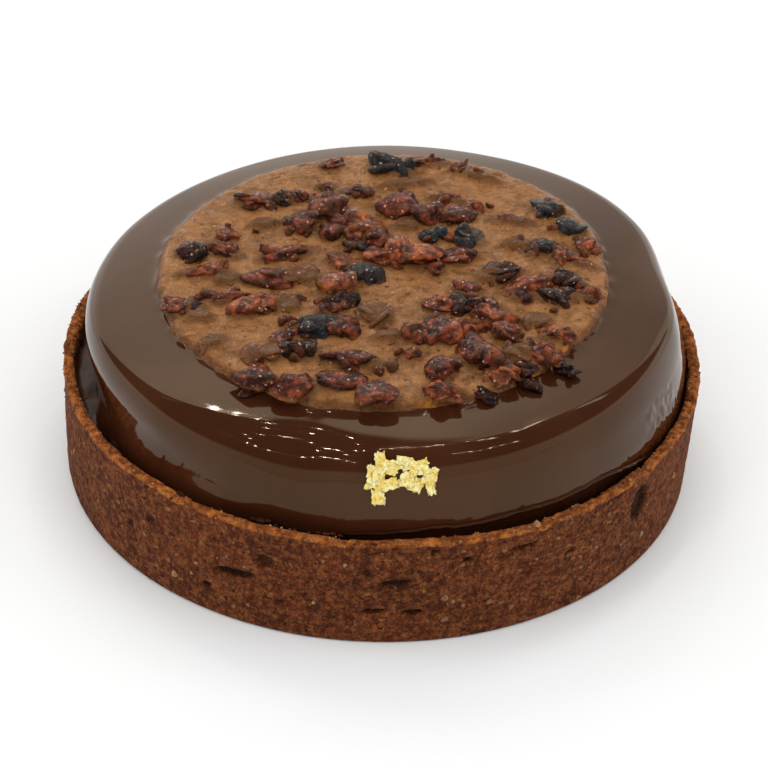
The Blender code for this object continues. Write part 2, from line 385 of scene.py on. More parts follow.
lump_tone = crust_finish.node("ShaderNodeSeparateColor", {}, {"Color": lump_tint})
dough = (lump_tone.ramp(0.45, 1.0) * 0.50).blend(dough, (0.290, 0.088, 0.026))
# Painted shade: the gaps between the crumb lumps, which the relief sinks, are darkened as if in shadow.
dough = (lump_gaps_and_painted_shade * crumb.ramp(0.35, 0.60, 0.70, 0.25)).blend(dough, (0.034, 0.0075, 0.0028))
dough = (rim_wear * 0.85).blend(dough, toasted)
flecks = ragged.moved((2, 9, 4), (1, 1, 1.3)).specks(0.0016, 0.26, 0.16)
dough = (flecks * 0.65).blend(dough, (0.330, 0.150, 0.055))
grit = ragged.moved((8, 3, 6)).specks(0.00085, 0.24, 0.25)
dough = (grit * 0.6).blend(dough, (0.270, 0.130, 0.058))
# Painted shade: small pits are made nearly black, as if in shadow, and the relief sinks them too.
pits_and_painted_shade = ragged.moved((5, 2, 8), (1, 1, 1.4)).specks(0.0011, 0.24, 0.26)
dough = (pits_and_painted_shade * 0.85).blend(dough, (0.022, 0.008, 0.005))
# Painted shade: the slits, blisters and creases are filled nearly black, as if in shadow.
painted_pore_shade = crust_finish.mark("pore")
dough = (painted_pore_shade * 0.92).blend(dough, (0.016, 0.005, 0.003))
crust_finish.feed("Base Color", dough)
crust_finish.relief(crumb * 0.6 + fine * 0.4 + flecks * 0.25 - pits_and_painted_shade - lump_gaps_and_painted_shade * 0.35, 0.00055, 1.0)

case = piece("baked_case", rolled(CASE_SEGMENTS, len(CASE_ROWS) - 1, case_point, ("rim", "pore")),
             crust_finish.material)
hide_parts("crust")

# ---- Nut flecks and rim crumbs ----
# Chopped hazelnut in the dough shows as pale flecks in the wall, and the knife left golden crumbs and
# slivers along the rim. The flecks lie half in the wall, and the crumbs stick to the cut edge.

# Azimuth, height, width, depth of the larger flecks.
NUT_FLECKS = (
    (-34.4, 0.0046, 0.0008, 0.0009),
    (-45.8, 0.0122, 0.0006, 0.0005),
    (-44.5, 0.0120, 0.0005, 0.0004),
    (-57.3, 0.0121, 0.0006, 0.0004),
    (-47.9, 0.0078, 0.0006, 0.0004),
    (-49.3, 0.0083, 0.0005, 0.0005),
    (-51.1, 0.0057, 0.0007, 0.0004),
    (-65.1, 0.0034, 0.0009, 0.0006),
    (-77.6, 0.0066, 0.0009, 0.0008),
    (-76.1, 0.0060, 0.0006, 0.0006),
    (-69.4, 0.0050, 0.0009, 0.0007),
    (-77.3, 0.0033, 0.0010, 0.0007),
    (-127.2, 0.0035, 0.0009, 0.0011),
    (-122.4, 0.0068, 0.0006, 0.0005),
    (-95.1, 0.0118, 0.0005, 0.0006),
    (-23.1, 0.0085, 0.0006, 0.0009),
    (-161.0, 0.0074, 0.0006, 0.0006),
    (-100.1, 0.0056, 0.0005, 0.0006),
    (-111.9, 0.0032, 0.0005, 0.0006),
    (-61.2, 0.0100, 0.0005, 0.0003),
)
FLECK_COUNT = 60
CRUMB_COUNT = 520


def case_surface(azimuth, height):
    """A point on the outside of the case."""
    rise = smooth_step((height - FLOOR) / (CASE_HEIGHT - FLOOR))
    reach = wall_reach(height)
    x = reach * math.cos(azimuth) + MOUTH_SHIFT * rise
    return Vector((x, reach * math.sin(azimuth), height + waves(azimuth, RIM_WAVES) * rise))


def add_bit(bm, point, size, turn, chance, subdivisions=1):
    """A small rough lump in a mesh, of a size along, across and up, turned and moved to its place."""
    verts = bmesh.ops.create_icosphere(bm, subdivisions=subdivisions, radius=0.5)["verts"]
    for vert in verts:
        vert.co *= 1 + chance.uniform(-0.22, 0.22)
    bmesh.ops.scale(bm, verts=verts, vec=size)
    bmesh.ops.rotate(bm, verts=verts, cent=(0, 0, 0), matrix=turn.to_matrix())
    bmesh.ops.translate(bm, verts=verts, vec=point)


chance = random.Random(21)
fleck_mesh = bmesh.new()
for middle, level, width, tall in NUT_FLECKS:
    azimuth = math.radians(middle)
    turn = Euler((chance.uniform(-0.5, 0.5), 0, azimuth))
    add_bit(fleck_mesh, case_surface(azimuth, level), (0.0004, width, tall), turn, chance, 2)
for _ in range(FLECK_COUNT):
    azimuth = math.radians(chance.uniform(-180, 180))
    level = chance.uniform(0.0010, 0.0140)
    width = chance.uniform(0.00025, 0.0006)
    turn = Euler((chance.uniform(-1.5, 1.5), 0, azimuth))
    size = (0.0003, width, width * chance.uniform(0.6, 1.0))
    add_bit(fleck_mesh, case_surface(azimuth, level), size, turn, chance, 2)

nut_finish = Finish("toasted_hazelnut", Roughness=0.6)
nut_grain = nut_finish.place.cloud(0.0004, 3, 0.6)
nut_patch = nut_finish.place.moved((4, 4, 4)).cloud(0.006, 1, 0.5)
nut_pale = nut_patch.ramp(0.40, 0.60).blend((0.210, 0.088, 0.030), (0.400, 0.205, 0.075))
nut_finish.feed("Base Color", nut_grain.ramp(0.35, 0.65).blend((0.150, 0.055, 0.020), nut_pale))
nut_finish.relief(nut_grain, 0.00010)
flecks_piece = piece("nut_flecks", fleck_mesh, nut_finish.material)

crumb_mesh = bmesh.new()
for _ in range(CRUMB_COUNT):
    azimuth = math.radians(chance.uniform(-180, 180))
    size = chance.uniform(0.00014, 0.00038)
    inwards = chance.choice((0.0, 0.0, 0.00012, 0.0003, 0.0008, 0.0012))
    point = case_surface(azimuth, CASE_HEIGHT)
    point.x -= inwards * math.cos(azimuth)
    point.y -= inwards * math.sin(azimuth)
    point.z -= 0.00008 + (0.0 if inwards else chance.uniform(0, 0.0003))
    turn = Euler((chance.uniform(-3, 3), chance.uniform(-3, 3), chance.uniform(-3, 3)))
    shape = (size, size * chance.uniform(0.7, 1.5), size * chance.uniform(0.5, 0.9))
    add_bit(crumb_mesh, point, shape, turn, chance)

# Slivers and big golden crumbs on the rim: azimuth, distance in from the edge, length, width, lean.
RIM_SLIVERS = (
    (-61.8, 0.0003, 0.0014, 0.0011, 1.2),
    (-62.9, 0.0004, 0.0007, 0.0006, 0.6),
    (-66.3, 0.0002, 0.0006, 0.0004, 0.9),
    (-83.7, 0.0003, 0.0009, 0.00014, 1.1),
    (-79.8, 0.0003, 0.0009, 0.00014, 0.8),
    (-85.1, 0.0004, 0.0005, 0.00012, 1.3),
    (-137.2, 0.0003, 0.0006, 0.0005, 0.7),
    (-132.3, 0.0002, 0.0005, 0.0004, 0.5),
    (-40.4, 0.0004, 0.0008, 0.0005, 0.6),
    (-35.2, 0.0003, 0.0009, 0.0005, 0.8),
)
for middle, inwards, length, width, lean in RIM_SLIVERS:
    azimuth = math.radians(middle)
    point = case_surface(azimuth, CASE_HEIGHT)
    point.x -= inwards * math.cos(azimuth)
    point.y -= inwards * math.sin(azimuth)
    point.z += length * 0.15
    turn = Euler((0, -lean, azimuth + chance.uniform(-1, 1)))
    add_bit(crumb_mesh, point, (length, width, width * 0.7), turn, chance, 2)

crumb_finish = Finish("golden_crumb", Roughness=0.7)
crumb_grain = crumb_finish.place.cloud(0.0006, 2, 0.6)
crumb_tone = crumb_grain.ramp(0.35, 0.65).blend((0.170, 0.055, 0.017), (0.390, 0.185, 0.060))
crumb_finish.feed("Base Color", crumb_tone)
crumb_finish.relief(crumb_finish.place.cloud(0.0002, 2, 0.6), 0.00006)
crumbs = piece("rim_crumbs", crumb_mesh, crumb_finish.material)

# ---- The dark filling ----
# A soft, nearly black filling poured level into the case to just under the rim. It clings a little to
# the wall, and only a wet ring of it shows round the mousse.

FILLING_TOP = 0.0122
FILLING_BOTTOM = 0.0025
FILLING_RADIUS = 0.0383
FILLING_SEGMENTS = 360


def filling_rows():
    """The filling's profile: underside, wall, the edge that clings to the case, and its top."""
    down, up = math.radians(-90), math.radians(90)
    rows = [(0.0, FILLING_BOTTOM, down), (FILLING_RADIUS, FILLING_BOTTOM, 0.0)]
    for step in range(11):
        share = step / 10
        rows.append((FILLING_RADIUS - 0.0012 * share, FILLING_TOP + 0.0008 * (1 - share) ** 3, up))
    rows += [(FILLING_RADIUS - 0.0012 - 0.0003 * step, FILLING_TOP, up) for step in range(1, 9)]
    rows += [(0.028, FILLING_TOP, up), (0.0, FILLING_TOP, up)]
    return rows


FILLING_ROWS = filling_rows()


def filling_point(azimuth, row):
    radius, height, _ = FILLING_ROWS[row]
    point = Vector((radius * math.cos(azimuth), radius * math.sin(azimuth), height))
    if height > FILLING_BOTTOM:
        point.z += 0.00016 * grain(point, 0.0035, 2)
    return (point,)


filling_finish = Finish("dark_filling", Roughness=0.22, Specular_IOR_Level=0.16)
filling_tone = filling_finish.place.cloud(0.003, 3, 0.5).ramp(0.35, 0.65)
filling_finish.feed("Base Color", filling_tone.blend((0.020, 0.006, 0.003), (0.070, 0.021, 0.007)))
filling_finish.relief(filling_finish.place.cloud(0.0015, 2, 0.5), 0.00008)
filling = piece("filling_pool", rolled(FILLING_SEGMENTS, len(FILLING_ROWS) - 1, filling_point),
                filling_finish.material)
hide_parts("filling")

# ---- The glazed mousse ----
# A frozen mousse disc, dipped in thin cocoa glaze and set down a little off centre. The glaze drew
# smooth over the shoulder, ran to a lip at the foot, and climbs a little up the caramel's edge.

DISC_RADIUS = 0.0370
DISC_TOP = 0.02610
DISC_X = 0.00040
DISC_Y = -0.00046
DISC_TILT_X = 0.028
DISC_TILT_Y = -0.010
SLUMP = 0.0011
SLUMP_FROM = 0.0235
SLUMP_OVER = 0.0090
LIP_BEAD = 0.00022
DISC_SEGMENTS = 600

# The top falls away from CROWN outwards. It leans BROW_TILT at the brow, bends quickly over the
# shoulder to CHIN_TILT at the chin, and then more gently to upright at DISC_RADIUS.
CROWN = 0.0245
BROW_TILT = math.radians(13)
CHIN_TILT = math.radians(66)

# How far from the disc's middle the brow and the chin are: azimuth and distance.
BROW = (
    (-180, 0.0347),
    (-160, 0.0352),
    (-148, 0.0349),
    (-138, 0.0345),
    (-132, 0.0339),
    (-118, 0.0322),
    (-104, 0.0308),
    (-92, 0.0326),
    (-80, 0.0339),
    (-62, 0.0341),
    (-46, 0.0343),
    (-30, 0.0346),
    (-17, 0.0344),
    (-6, 0.0350),
    (20, 0.0343),
    (90, 0.0343),
    (150, 0.0343),
    (180, 0.0347),
)
CHIN = (
    (-180, 0.0362),
    (-150, 0.0363),
    (-132, 0.0362),
    (-118, 0.0358),
    (-104, 0.0354),
    (-92, 0.0358),
    (-78, 0.0361),
    (-50, 0.0362),
    (-10, 0.0363),
    (60, 0.0361),
    (180, 0.0362),
)

# Where the disc is fuller or flatter than round above its waist: azimuth, half angle and amount.
BULGES = (
    (42, math.radians(34), 0.0008),
    (8, math.radians(20), -0.0009),
    (158, math.radians(40), 0.0004),
    (-172, math.radians(26), 0.0003),
)

# Where the glaze has run out over the filling: azimuth, half angle, reach, height where it begins and
# the depth over which it spreads.
POOLS = (
    (-142, math.radians(30), 0.0015, 0.0208, 0.0082),
    (-160, math.radians(8), 0.0009, 0.0166, 0.0032),
    (-121, math.radians(11), 0.0004, 0.0176, 0.0018),
    (40, math.radians(70), 0.0002, 0.0150, 0.0030),
)

# The height of the glaze's lip round the disc.
LIP = (
    (-180, 0.0124),
    (-170, 0.0122),
    (-150, 0.0120),
    (-122, 0.0124),
    (-117, 0.0134),
    (-112, 0.0140),
    (-100, 0.0142),
    (-90, 0.0143),
    (-82, 0.0149),
    (-76, 0.0147),
    (-66, 0.0150),
    (-57, 0.0148),
    (-46, 0.0150),
    (-40, 0.0143),
    (-35, 0.0137),
    (-30, 0.0131),
    (-20, 0.0124),
    (10, 0.0124),
    (60, 0.0130),
    (100, 0.0138),
    (140, 0.0130),
    (180, 0.0124),
)

TOP_RADIUS = 0.02865
TOP_X = 0.00020
TOP_Y = 0.00030
TOP_EDGE_WAVES = (
    (2, 0.00050, math.radians(90)),
    (3, 0.00014, 0.6),
    (8, 0.00012, 2.1),
    (17, 0.00010, 4.0),
    (31, 0.00006, 1.0),
)
CLIMB = 0.00026


@functools.lru_cache(maxsize=None)
def between(azimuth, table):
    """The value at an azimuth of a table of azimuths in degrees and values, on a smooth curve."""
    degrees = math.degrees(azimuth)
    for index in range(len(table) - 1):
        start, low = table[index]
        end, high = table[index + 1]
        if degrees <= end:
            break
    before, after = table[max(index - 1, 0)], table[min(index + 2, len(table) - 1)]
    span = end - start
    rise_in = (high - before[1]) / (end - before[0]) * span
    rise_out = (after[1] - low) / (after[0] - start) * span
    share = max(degrees - start, 0.0) / span
    rest = 1 - share
    curve = low * (1 + 2 * share) * rest * rest + high * (3 - 2 * share) * share * share
    return curve + rise_in * share * rest * rest - rise_out * share * share * rest


def swell(azimuth, table):
    """The sum of some humps round the disc: middle in degrees, half angle and size."""
    total = 0.0
    for middle, half, size in table:
        total += size * smooth_step(1 - abs(turned_by(azimuth, middle)) / half)
    return total


def mousse_rows():
    """The part of the surface that each row is on, and how far along that part it stands."""
    rows = [("under", share / 2) for share in range(3)]
    rows += [("tuck", share / 3) for share in range(1, 4)]
    rows += [("bead", share / 8) for share in range(1, 9)]
    rows += [("side", share / 26) for share in range(1, 27)]
    rows += [("jaw", share / 14) for share in range(1, 15)]
    rows += [("shoulder", share / 24) for share in range(1, 25)]
    rows += [("top", share / 50) for share in range(1, 51)]
    return rows


MOUSSE_ROWS = mousse_rows()


def mousse_profile(azimuth, row):
    """The radius and height of a row of the mousse before it is tilted and moved into place."""
    part, share = MOUSSE_ROWS[row]
    bottom = FILLING_TOP - 0.0003
    lip = between(azimuth, LIP)
    brow, chin = between(azimuth, BROW), between(azimuth, CHIN)
    brow_drop = math.tan(BROW_TILT) * (brow - CROWN) / 2
    bend = (chin - brow) / (math.sin(CHIN_TILT) - math.sin(BROW_TILT))
    chin_top = DISC_TOP - brow_drop - bend * (math.cos(BROW_TILT) - math.cos(CHIN_TILT))
    slack = (DISC_RADIUS - chin) / (1 - math.sin(CHIN_TILT))
    waist_top = chin_top - slack * math.cos(CHIN_TILT)
    foot = min(lip + 2 * LIP_BEAD, waist_top - 0.0005)
    if part == "under":
        return share * (DISC_RADIUS - 0.0010), bottom
    if part == "tuck":
        return DISC_RADIUS - 0.0010 + 0.0006 * share, bottom + (lip - bottom) * share * 0.9
    if part == "bead":
        turn = math.radians(-90 + 180 * share)
        return DISC_RADIUS - 0.0003 + 0.0002 * math.cos(turn) + 0.0001 * share, lip + LIP_BEAD * (1 + math.sin(turn))
    if part == "side":
        return DISC_RADIUS - 0.0002 * (1 - smooth_step(share * 9)), foot + (waist_top - foot) * share
    if part == "jaw":
        turn = math.pi / 2 - (math.pi / 2 - CHIN_TILT) * share
        return DISC_RADIUS - slack * (1 - math.sin(turn)), waist_top + slack * math.cos(turn)
    if part == "shoulder":
        turn = CHIN_TILT - (CHIN_TILT - BROW_TILT) * share
        reach = brow + bend * (math.sin(turn) - math.sin(BROW_TILT))
        return reach, DISC_TOP - brow_drop - bend * (math.cos(BROW_TILT) - math.cos(turn))
    inner = 0.0262
    reach = brow - (brow - inner) * share / 0.8 if share < 0.8 else inner * (1 - share) / 0.2
    fall = max(reach - CROWN, 0.0) / (brow - CROWN)
    return reach, DISC_TOP - brow_drop * fall * fall


def tilt_height(x, y):
    """How far the tilted disc's top stands above or below its middle, x and y from its middle."""
    return DISC_TILT_X * x + DISC_TILT_Y * y


def top_edge(azimuth):
    """How far the caramel disc reaches at an azimuth."""
    return TOP_RADIUS + waves(azimuth, TOP_EDGE_WAVES)


def mousse_point(azimuth, row):
    """A point of the glazed mousse, with how near it is to the lip."""
    radius, height = mousse_profile(azimuth, row)
    part, _ = MOUSSE_ROWS[row]
    x, y = radius * math.cos(azimuth), radius * math.sin(azimuth)
    lip = between(azimuth, LIP)
    rise = smooth_step((height - FILLING_TOP) / 0.0025)
    low = smooth_step((SLUMP_FROM - height) / SLUMP_OVER)
    run = swell(azimuth, BULGES) * smooth_step((radius - 0.0300) / 0.0060)
    run *= smooth_step((height - 0.0150) / 0.0050)
    for middle, half, reach, top, depth in POOLS:
        spread = smooth_step(1 - abs(turned_by(azimuth, middle)) / half)
        run += reach * spread * smooth_step((top - height) / depth)
    run = run if radius > DISC_RADIUS / 2 else 0.0
    point = Vector((x + DISC_X + SLUMP * low + run * math.cos(azimuth), 0, 0))
    point.y = y + DISC_Y + run * math.sin(azimuth)
    point.z = height + tilt_height(x, y) * rise
    out = Vector((math.cos(azimuth), math.sin(azimuth), 0))
    if part in ("bead", "side", "tuck"):
        near_lip = smooth_step((lip + 0.0022 - height) / 0.0022)
        edge = Vector((point.x, point.y, 0))
        point.z += near_lip * (0.00018 * grain(edge, 0.0030, 3) + 0.00012 * grain(edge, 0.0009, 2))
        point += out * (0.00012 * near_lip * grain(point, 0.0012, 2))
    if part not in ("top", "under"):
        point += out * (0.00006 * grain(point, 0.0090, 1))
    if part in ("side", "jaw"):
        wrinkle = smooth_step(1.6 - 1.6 * abs(turned_by(azimuth, -25)) / 0.15)
        wrinkle *= smooth_step((0.0205 - height) / 0.0015) * smooth_step((height - 0.0128) / 0.0012)
        folds = Vector((azimuth * 34, height * 700 + azimuth * 20, 0))
        point += out * (0.00020 * wrinkle * (noise.noise(folds) + 0.5 * noise.noise(folds * 2)))
    if part == "top":
        point.z += 0.00003 * grain(point, 0.0120, 1)
        away = Vector((point.x - TOP_X, point.y - TOP_Y, 0))
        gap = away.length - top_edge(math.atan2(away.y, away.x))
        ragged = 1 + 0.7 * noise.noise(away / 0.0018)
        point.z += CLIMB * ragged * math.exp(-max(gap, 0.0) / 0.00040)
    return point, smooth_step((lip + 0.0009 - height) / 0.0008)


glaze_finish = Finish(
    "cocoa_glaze",
    Roughness=0.055,
    IOR=1.43,
    Specular_Tint=(1.0, 0.80, 0.50, 1.0),
)
place = glaze_finish.place
streaks = place.moved((0, 0, 0), (1, 1, 0.5)).cloud(0.010, 3, 0.5)
glaze_tone = streaks.ramp(0.35, 0.65).blend((0.037, 0.0104, 0.0040), (0.047, 0.0138, 0.0056))
# Painted shade: the glaze is darker at the lip, the tuck and the underside, as if in shadow.
lip_painted_shade = glaze_finish.mark("lip")
glaze_tone = (lip_painted_shade * 0.45).blend(glaze_tone, (0.030, 0.009, 0.005))
dust = place.moved((1, 4, 2)).specks(0.0022, 0.05, 0.30)
glaze_tone = (dust * 0.35).blend(glaze_tone, (0.16, 0.08, 0.05))
glaze_finish.feed("Base Color", glaze_tone)
glaze_finish.feed("Roughness", streaks.ramp(0.3, 0.7, 0.045, 0.075) + dust * 0.2)
glaze_finish.relief(place.moved((5, 5, 5)).cloud(0.0060, 1, 0.5), 0.000012)
mousse = piece("glazed_mousse_disc", rolled(DISC_SEGMENTS, len(MOUSSE_ROWS) - 1, mousse_point, ("lip",)),
               glaze_finish.material)
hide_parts("glazed_mousse")

# ---- Drops of glaze ----
# Small beads and burst bubbles of glaze that caught between the mousse and the rim as it ran down.

# Azimuth, distance from the disc's middle, height, width.
DROPS = (
    (-129.0, 0.0374, 0.0141, 0.0008),
    (-127.8, 0.0376, 0.0142, 0.0005),
    (-113.2, 0.0372, 0.0146, 0.0006),
    (-111.6, 0.0373, 0.0147, 0.0009),
    (-110.2, 0.0372, 0.0149, 0.0006),
    (-108.6, 0.0374, 0.0146, 0.0005),
    (-100.6, 0.0373, 0.0147, 0.0005),
    (-99.2, 0.0375, 0.0148, 0.0007),
    (-98.0, 0.0374, 0.0149, 0.0006),
    (-96.6, 0.0375, 0.0148, 0.0005),
    (-105.0, 0.0374, 0.0146, 0.0004),
    (-146.0, 0.0382, 0.0130, 0.0006),
    (-120.0, 0.0373, 0.0144, 0.0004),
)
drop_mesh = bmesh.new()
for middle, distance, level, width in DROPS:
    azimuth = math.radians(middle)
    verts = bmesh.ops.create_icosphere(drop_mesh, subdivisions=3, radius=0.5)["verts"]
    bmesh.ops.scale(drop_mesh, verts=verts, vec=(width, width * 1.4, width * 0.7))
    turn = Matrix.Rotation(azimuth, 3, "Z")
    bmesh.ops.rotate(drop_mesh, verts=verts, cent=(0, 0, 0), matrix=turn)
    spot = (DISC_X + distance * math.cos(azimuth), DISC_Y + distance * math.sin(azimuth), level)
    bmesh.ops.translate(drop_mesh, verts=verts, vec=spot)
    for vert in verts:
        vert.co.z += 0.00006 * grain(vert.co, 0.0005, 1)
drops = piece("glaze_drops", drop_mesh, glaze_finish.material)

# ---- The nibs ----
# Roasted cocoa nibs, broken into wet angular shards and stirred into the caramel. Most are red brown,
# some orange, some charcoal with a painted blue grey sheen, and some are sunk under a film of caramel.
# Their colour also holds painted sheen, painted glints and painted shade in their creases.

# From the caramel disc's middle, in millimetres: x, y, length, width, height above it, turn in degrees.
NIBS = {
    "red": (
        (-8, 25, 2.5, 1.5, 1.0, 0), (-17.5, 16, 4.5, 2.5, 1.3, 15), (-12, 17, 2.8, 1.5, 1.1, -10),
        (-8.5, 19.5, 1.8, 1.3, 0.8, 0), (-4.5, 18, 3.2, 1.7, 1.2, -10), (-8, 14, 4.2, 3.4, 1.9, 0),
        (-11.5, 10, 3.3, 3.0, 1.8, 0), (-20.5, 3.5, 3.4, 1.8, 1.2, -20), (-13, 3.5, 5.6, 1.5, 1.2, 20),
        (-15, -2.5, 5.6, 2.2, 1.4, -10), (-7, 8.5, 3.2, 2.6, 1.7, 0), (-1.5, 7, 2.9, 2.4, 1.3, -30),
        (-21, -7, 5.8, 1.4, 1.0, 5), (-26, -9, 3.2, 2.2, 1.2, 0), (-5.5, -13.5, 3.2, 2.4, 1.6, -10),
        (-12.5, -15.5, 2.8, 1.6, 1.0, 20), (-4.5, -20, 5.6, 2.4, 1.3, -5), (-5.5, -24.5, 4.4, 2.3, 1.2, 0),
        (-16, -24, 5.0, 2.2, 1.3, -15), (-10.5, -26, 4.8, 2.6, 1.8, 0), (-1, -27.6, 3.7, 3.0, 1.7, 0),
        (8.5, 24, 1.8, 1.3, 0.9, 30), (0.5, 14, 4.4, 2.8, 1.9, -15), (5, 12.5, 4.2, 2.4, 1.6, 10),
        (8.5, 12.5, 3.4, 2.4, 1.7, 0), (10.5, 14, 1.7, 1.8, 1.4, 0), (7, 16.5, 2.9, 1.0, 0.8, -15),
        (15, 11.5, 3.4, 1.3, 0.8, -10), (5.5, 0, 2.0, 1.8, 1.4, 0), (8.5, 3, 4.2, 1.8, 1.2, 5),
        (23, 2, 3.8, 1.0, 0.9, -25), (24, -6, 2.8, 1.6, 1.1, 20), (23, -3.5, 1.8, 1.4, 1.1, 0),
        (9.5, -5, 3.0, 1.8, 1.1, 0), (11.5, -8.5, 3.6, 1.7, 1.2, -10), (3.5, -14.5, 2.8, 3.0, 1.9, 0),
        (6, -14.5, 3.2, 3.0, 2.0, 20), (14, -14.5, 2.7, 2.3, 1.9, 45), (10.5, -19.5, 3.9, 4.0, 2.3, 15),
        (6.5, -22.5, 3.0, 3.3, 2.0, 0), (3, -19, 1.8, 1.3, 1.0, 0), (18, -19, 4.6, 1.7, 1.4, -20),
        (-7.5, -9.5, 2.2, 1.6, 1.1, 10), (4.5, 25.5, 4.0, 1.4, 0.9, 0),
    ),
    "orange": (
        (-20.5, 7.5, 2.0, 1.8, 1.1, 30), (-23, -1, 5.0, 1.5, 1.1, 5), (-6.5, 1.5, 2.6, 1.9, 1.3, 0),
        (-3.5, 9, 4.2, 3.0, 1.8, 20), (-17.5, -9.5, 3.6, 2.3, 1.4, 35), (-15, -8.5, 3.6, 2.0, 1.3, 30),
        (-6.5, -4.5, 4.2, 3.0, 1.8, 30), (-11.5, -13, 2.2, 1.1, 0.9, 40), (3, 2.5, 4.4, 4.4, 2.2, 60),
        (-1, 2, 3.4, 2.3, 1.5, -20), (21, 3, 3.8, 1.3, 1.3, 80), (24.5, 5.5, 2.8, 1.5, 1.0, 30),
        (17, -4, 5.6, 2.2, 1.6, 20), (6, -8, 3.4, 2.0, 1.3, -20), (13, -11, 4.4, 2.8, 1.8, 0),
        (9, -13.5, 4.8, 2.4, 1.8, 25), (13.5, -23.5, 3.4, 1.9, 1.5, 10), (20.5, -15, 3.2, 1.5, 1.1, 0),
        (7, -26.6, 4.2, 2.1, 1.5, -15),
    ),
    "dark": (
        (-14, 16, 1.9, 1.9, 1.4, 0), (-25, 3.5, 3.4, 2.4, 1.6, -20), (-4, 4.5, 3.6, 1.3, 1.1, -10),
        (-23.5, -9, 1.9, 1.2, 0.9, 0), (-6, -7.4, 3.6, 1.8, 1.2, 30), (-10.5, -18.5, 4.4, 2.6, 1.7, -10),
        (14, -0.5, 4.2, 2.8, 1.6, 0), (16.5, -6.5, 2.3, 1.3, 1.0, 0), (21.5, -2.5, 3.4, 2.4, 1.6, -20),
        (20.5, -6.5, 4.4, 1.7, 1.3, -5), (9, -8.5, 3.0, 2.4, 1.5, 0), (16.5, -21.8, 3.0, 1.6, 1.0, 20),
    ),
    "slate": (
        (-3, -2, 3.6, 2.4, 1.4, 10), (-8.5, -13.5, 4.6, 2.4, 1.7, 5), (0, 24.3, 5.0, 2.6, 1.5, -25),
        (19.5, 14, 3.4, 2.2, 1.3, 0), (22.5, 9.5, 3.4, 1.9, 1.2, 0), (5.5, 7.5, 2.9, 1.8, 1.3, 0),
        (10, 7, 3.2, 2.2, 1.0, -35), (19, 4.5, 3.4, 1.9, 1.4, 20),
    ),
    "sunk": (
        (-22, 5, 2.7, 1.2, 0.6, 0), (-20, -2.5, 2.6, 1.9, 0.7, 0), (-11, -2, 3.8, 2.4, 1.1, 0),
        (-12.5, -8.5, 2.6, 2.4, 0.7, 0), (-1.5, -10.5, 3.7, 3.0, 0.9, -30), (-15, -19, 4.3, 2.4, 1.1, -10),
        (-21.5, -16.5, 3.0, 1.5, 0.5, 30), (-23, -11, 2.4, 1.4, 0.5, 0), (11.5, 22, 2.8, 1.1, 0.6, -20),
        (15.5, -19, 2.9, 2.3, 1.1, 0), (-1, -21.5, 1.5, 1.1, 0.5, 0), (1.5, 20, 5.0, 1.2, 0.4, 15),
        (12.5, -2, 2.5, 1.5, 0.4, 0), (0, -15, 2.5, 1.6, 0.3, 20), (2, 10, 2.2, 1.4, 0.6, 10),
        (16, 6, 2.6, 1.6, 0.3, -10), (-16, 10.5, 2.4, 1.4, 0.3, 0), (18, -11.5, 3.0, 2.0, 0.8, 10),
    ),
    # Chips that hang on the disc's side, low down, coloured very dark as painted shade.
    "side": (
        (11.5, -25.9, 4.0, 1.3, 0.1, -22), (16.4, -23.1, 3.4, 1.2, 0.2, -35), (21.0, -19.3, 3.8, 1.2, 0.1, -50),
        (-15.5, -24.2, 3.6, 1.2, 0.1, 30),
    ),
}
TOP_THICKNESS = 0.0012
NIB_MM = 0.001
NIB_X = 0.00105
NIB_Y = 0.00010
NIB_LENGTH = 0.73
NIB_WIDTH = 0.94
NIB_TALL = 0.84


def mousse_level(x, y):
    """The height of the mousse's top under the caramel."""
    reach = math.hypot(x - DISC_X, y - DISC_Y)
    drop = math.tan(BROW_TILT) * max(reach - CROWN, 0.0) ** 2 / 2 / (0.0343 - CROWN)
    return DISC_TOP - drop + tilt_height(x - DISC_X, y - DISC_Y)


def shard(bm, middle, size, turn, chance, rounds=3, facets=8):
    """One angular shard: a ball planed flat on several sides, then stretched and wrinkled."""
    verts = bmesh.ops.create_icosphere(bm, subdivisions=rounds, radius=1.0)["verts"]
    cuts = []
    for _ in range(facets):
        way = Vector((chance.gauss(0, 1), chance.gauss(0, 1), chance.gauss(0, 0.8))).normalized()
        cuts.append((way, chance.uniform(0.45, 0.80)))
    offset = Vector((chance.uniform(-50, 50), chance.uniform(-50, 50), chance.uniform(-50, 50)))
    for vert in verts:
        for way, depth in cuts:
            over = vert.co.dot(way) - depth
            if over > 0:
                vert.co -= way * over * 0.96
    bmesh.ops.scale(bm, verts=verts, vec=size)
    bmesh.ops.rotate(bm, verts=verts, cent=(0, 0, 0), matrix=turn.to_matrix())
    crease = bm.verts.layers.float["crease"]
    for vert in verts:
        spot = vert.co + offset * 0.001
        ridge = abs(noise.noise(spot / 0.0009))
        fine = grain(spot, 0.00040, 2)
        vert.co += vert.co.normalized() * (0.00010 - 0.00040 * ridge + 0.00009 * fine)
        vert[crease] = smooth_step(ridge * 2.6 - fine * 0.4)
    bmesh.ops.translate(bm, verts=verts, vec=middle)
    return verts


def nib_middle(x, y, tall, half_tall):
    """Where a nib's middle is, so that it stands tall above the caramel."""
    x, y = NIB_X + x * NIB_MM, NIB_Y + y * NIB_MM
    return Vector((x, y, mousse_level(x, y) + TOP_THICKNESS + tall * NIB_MM - half_tall))


FILM_ON_SUNK = 0.50


def spread_film(verts, film, base, coat, kind):
    """Marks how much caramel lies on each point of a nib: most at its base, and all over a sunk one."""
    for vert in verts:
        low = smooth_step((base + 0.00035 - vert.co.z) / 0.0004)
        patch = smooth_step(0.4 + 1.6 * noise.noise(vert.co / 0.0011)) * coat
        vert[film] = min(1.0, low * 0.7 + patch + (FILM_ON_SUNK if kind == "sunk" else 0.0))
        if kind == "side":
            vert[film] = 0.0


